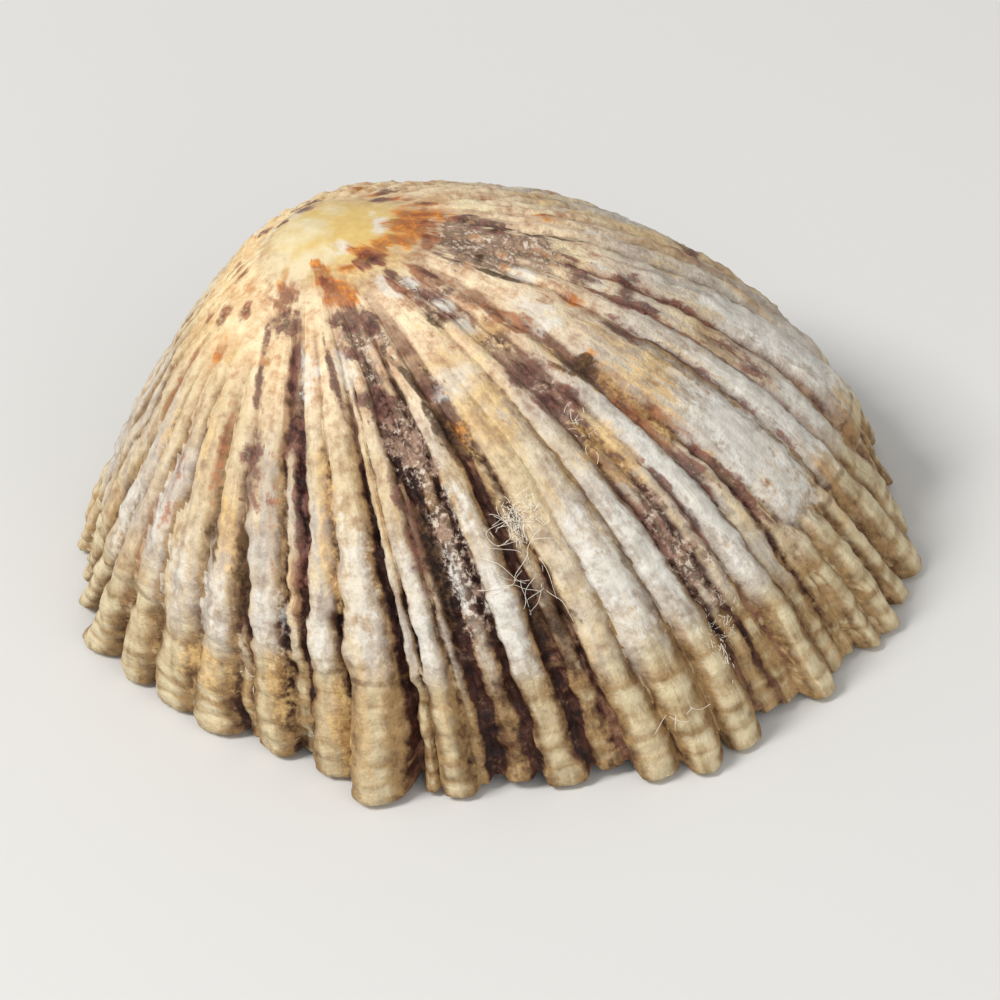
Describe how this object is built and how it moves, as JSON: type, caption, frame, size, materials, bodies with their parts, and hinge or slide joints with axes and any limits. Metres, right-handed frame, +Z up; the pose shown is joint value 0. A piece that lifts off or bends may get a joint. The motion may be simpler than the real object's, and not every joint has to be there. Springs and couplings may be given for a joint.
{
  "type": "limpet shell",
  "caption": "Low oval cone of a limpet shell, hollow underneath, with rounded ribs from its off-centre apex to a notched margin that it stands on.",
  "frame": {"origin": "middle of the bounding box at the level of the ribs' tips, on the surface that the shell stands on", "axes": "+X towards the shell's broad rear end, with the apex on the -X side; +Y across the shell, away from the side that the picture shows; +Z up through the cone"},
  "size_m": [0.03, 0.0272, 0.0128],
  "materials": {
    "worn_shell": "worn matt shell, cream and blue-grey ribs over purple-brown grooves, glossy inside"
  },
  "bodies": {
    "root": {"shell": "worn_shell"}
  },
  "joints": []
}
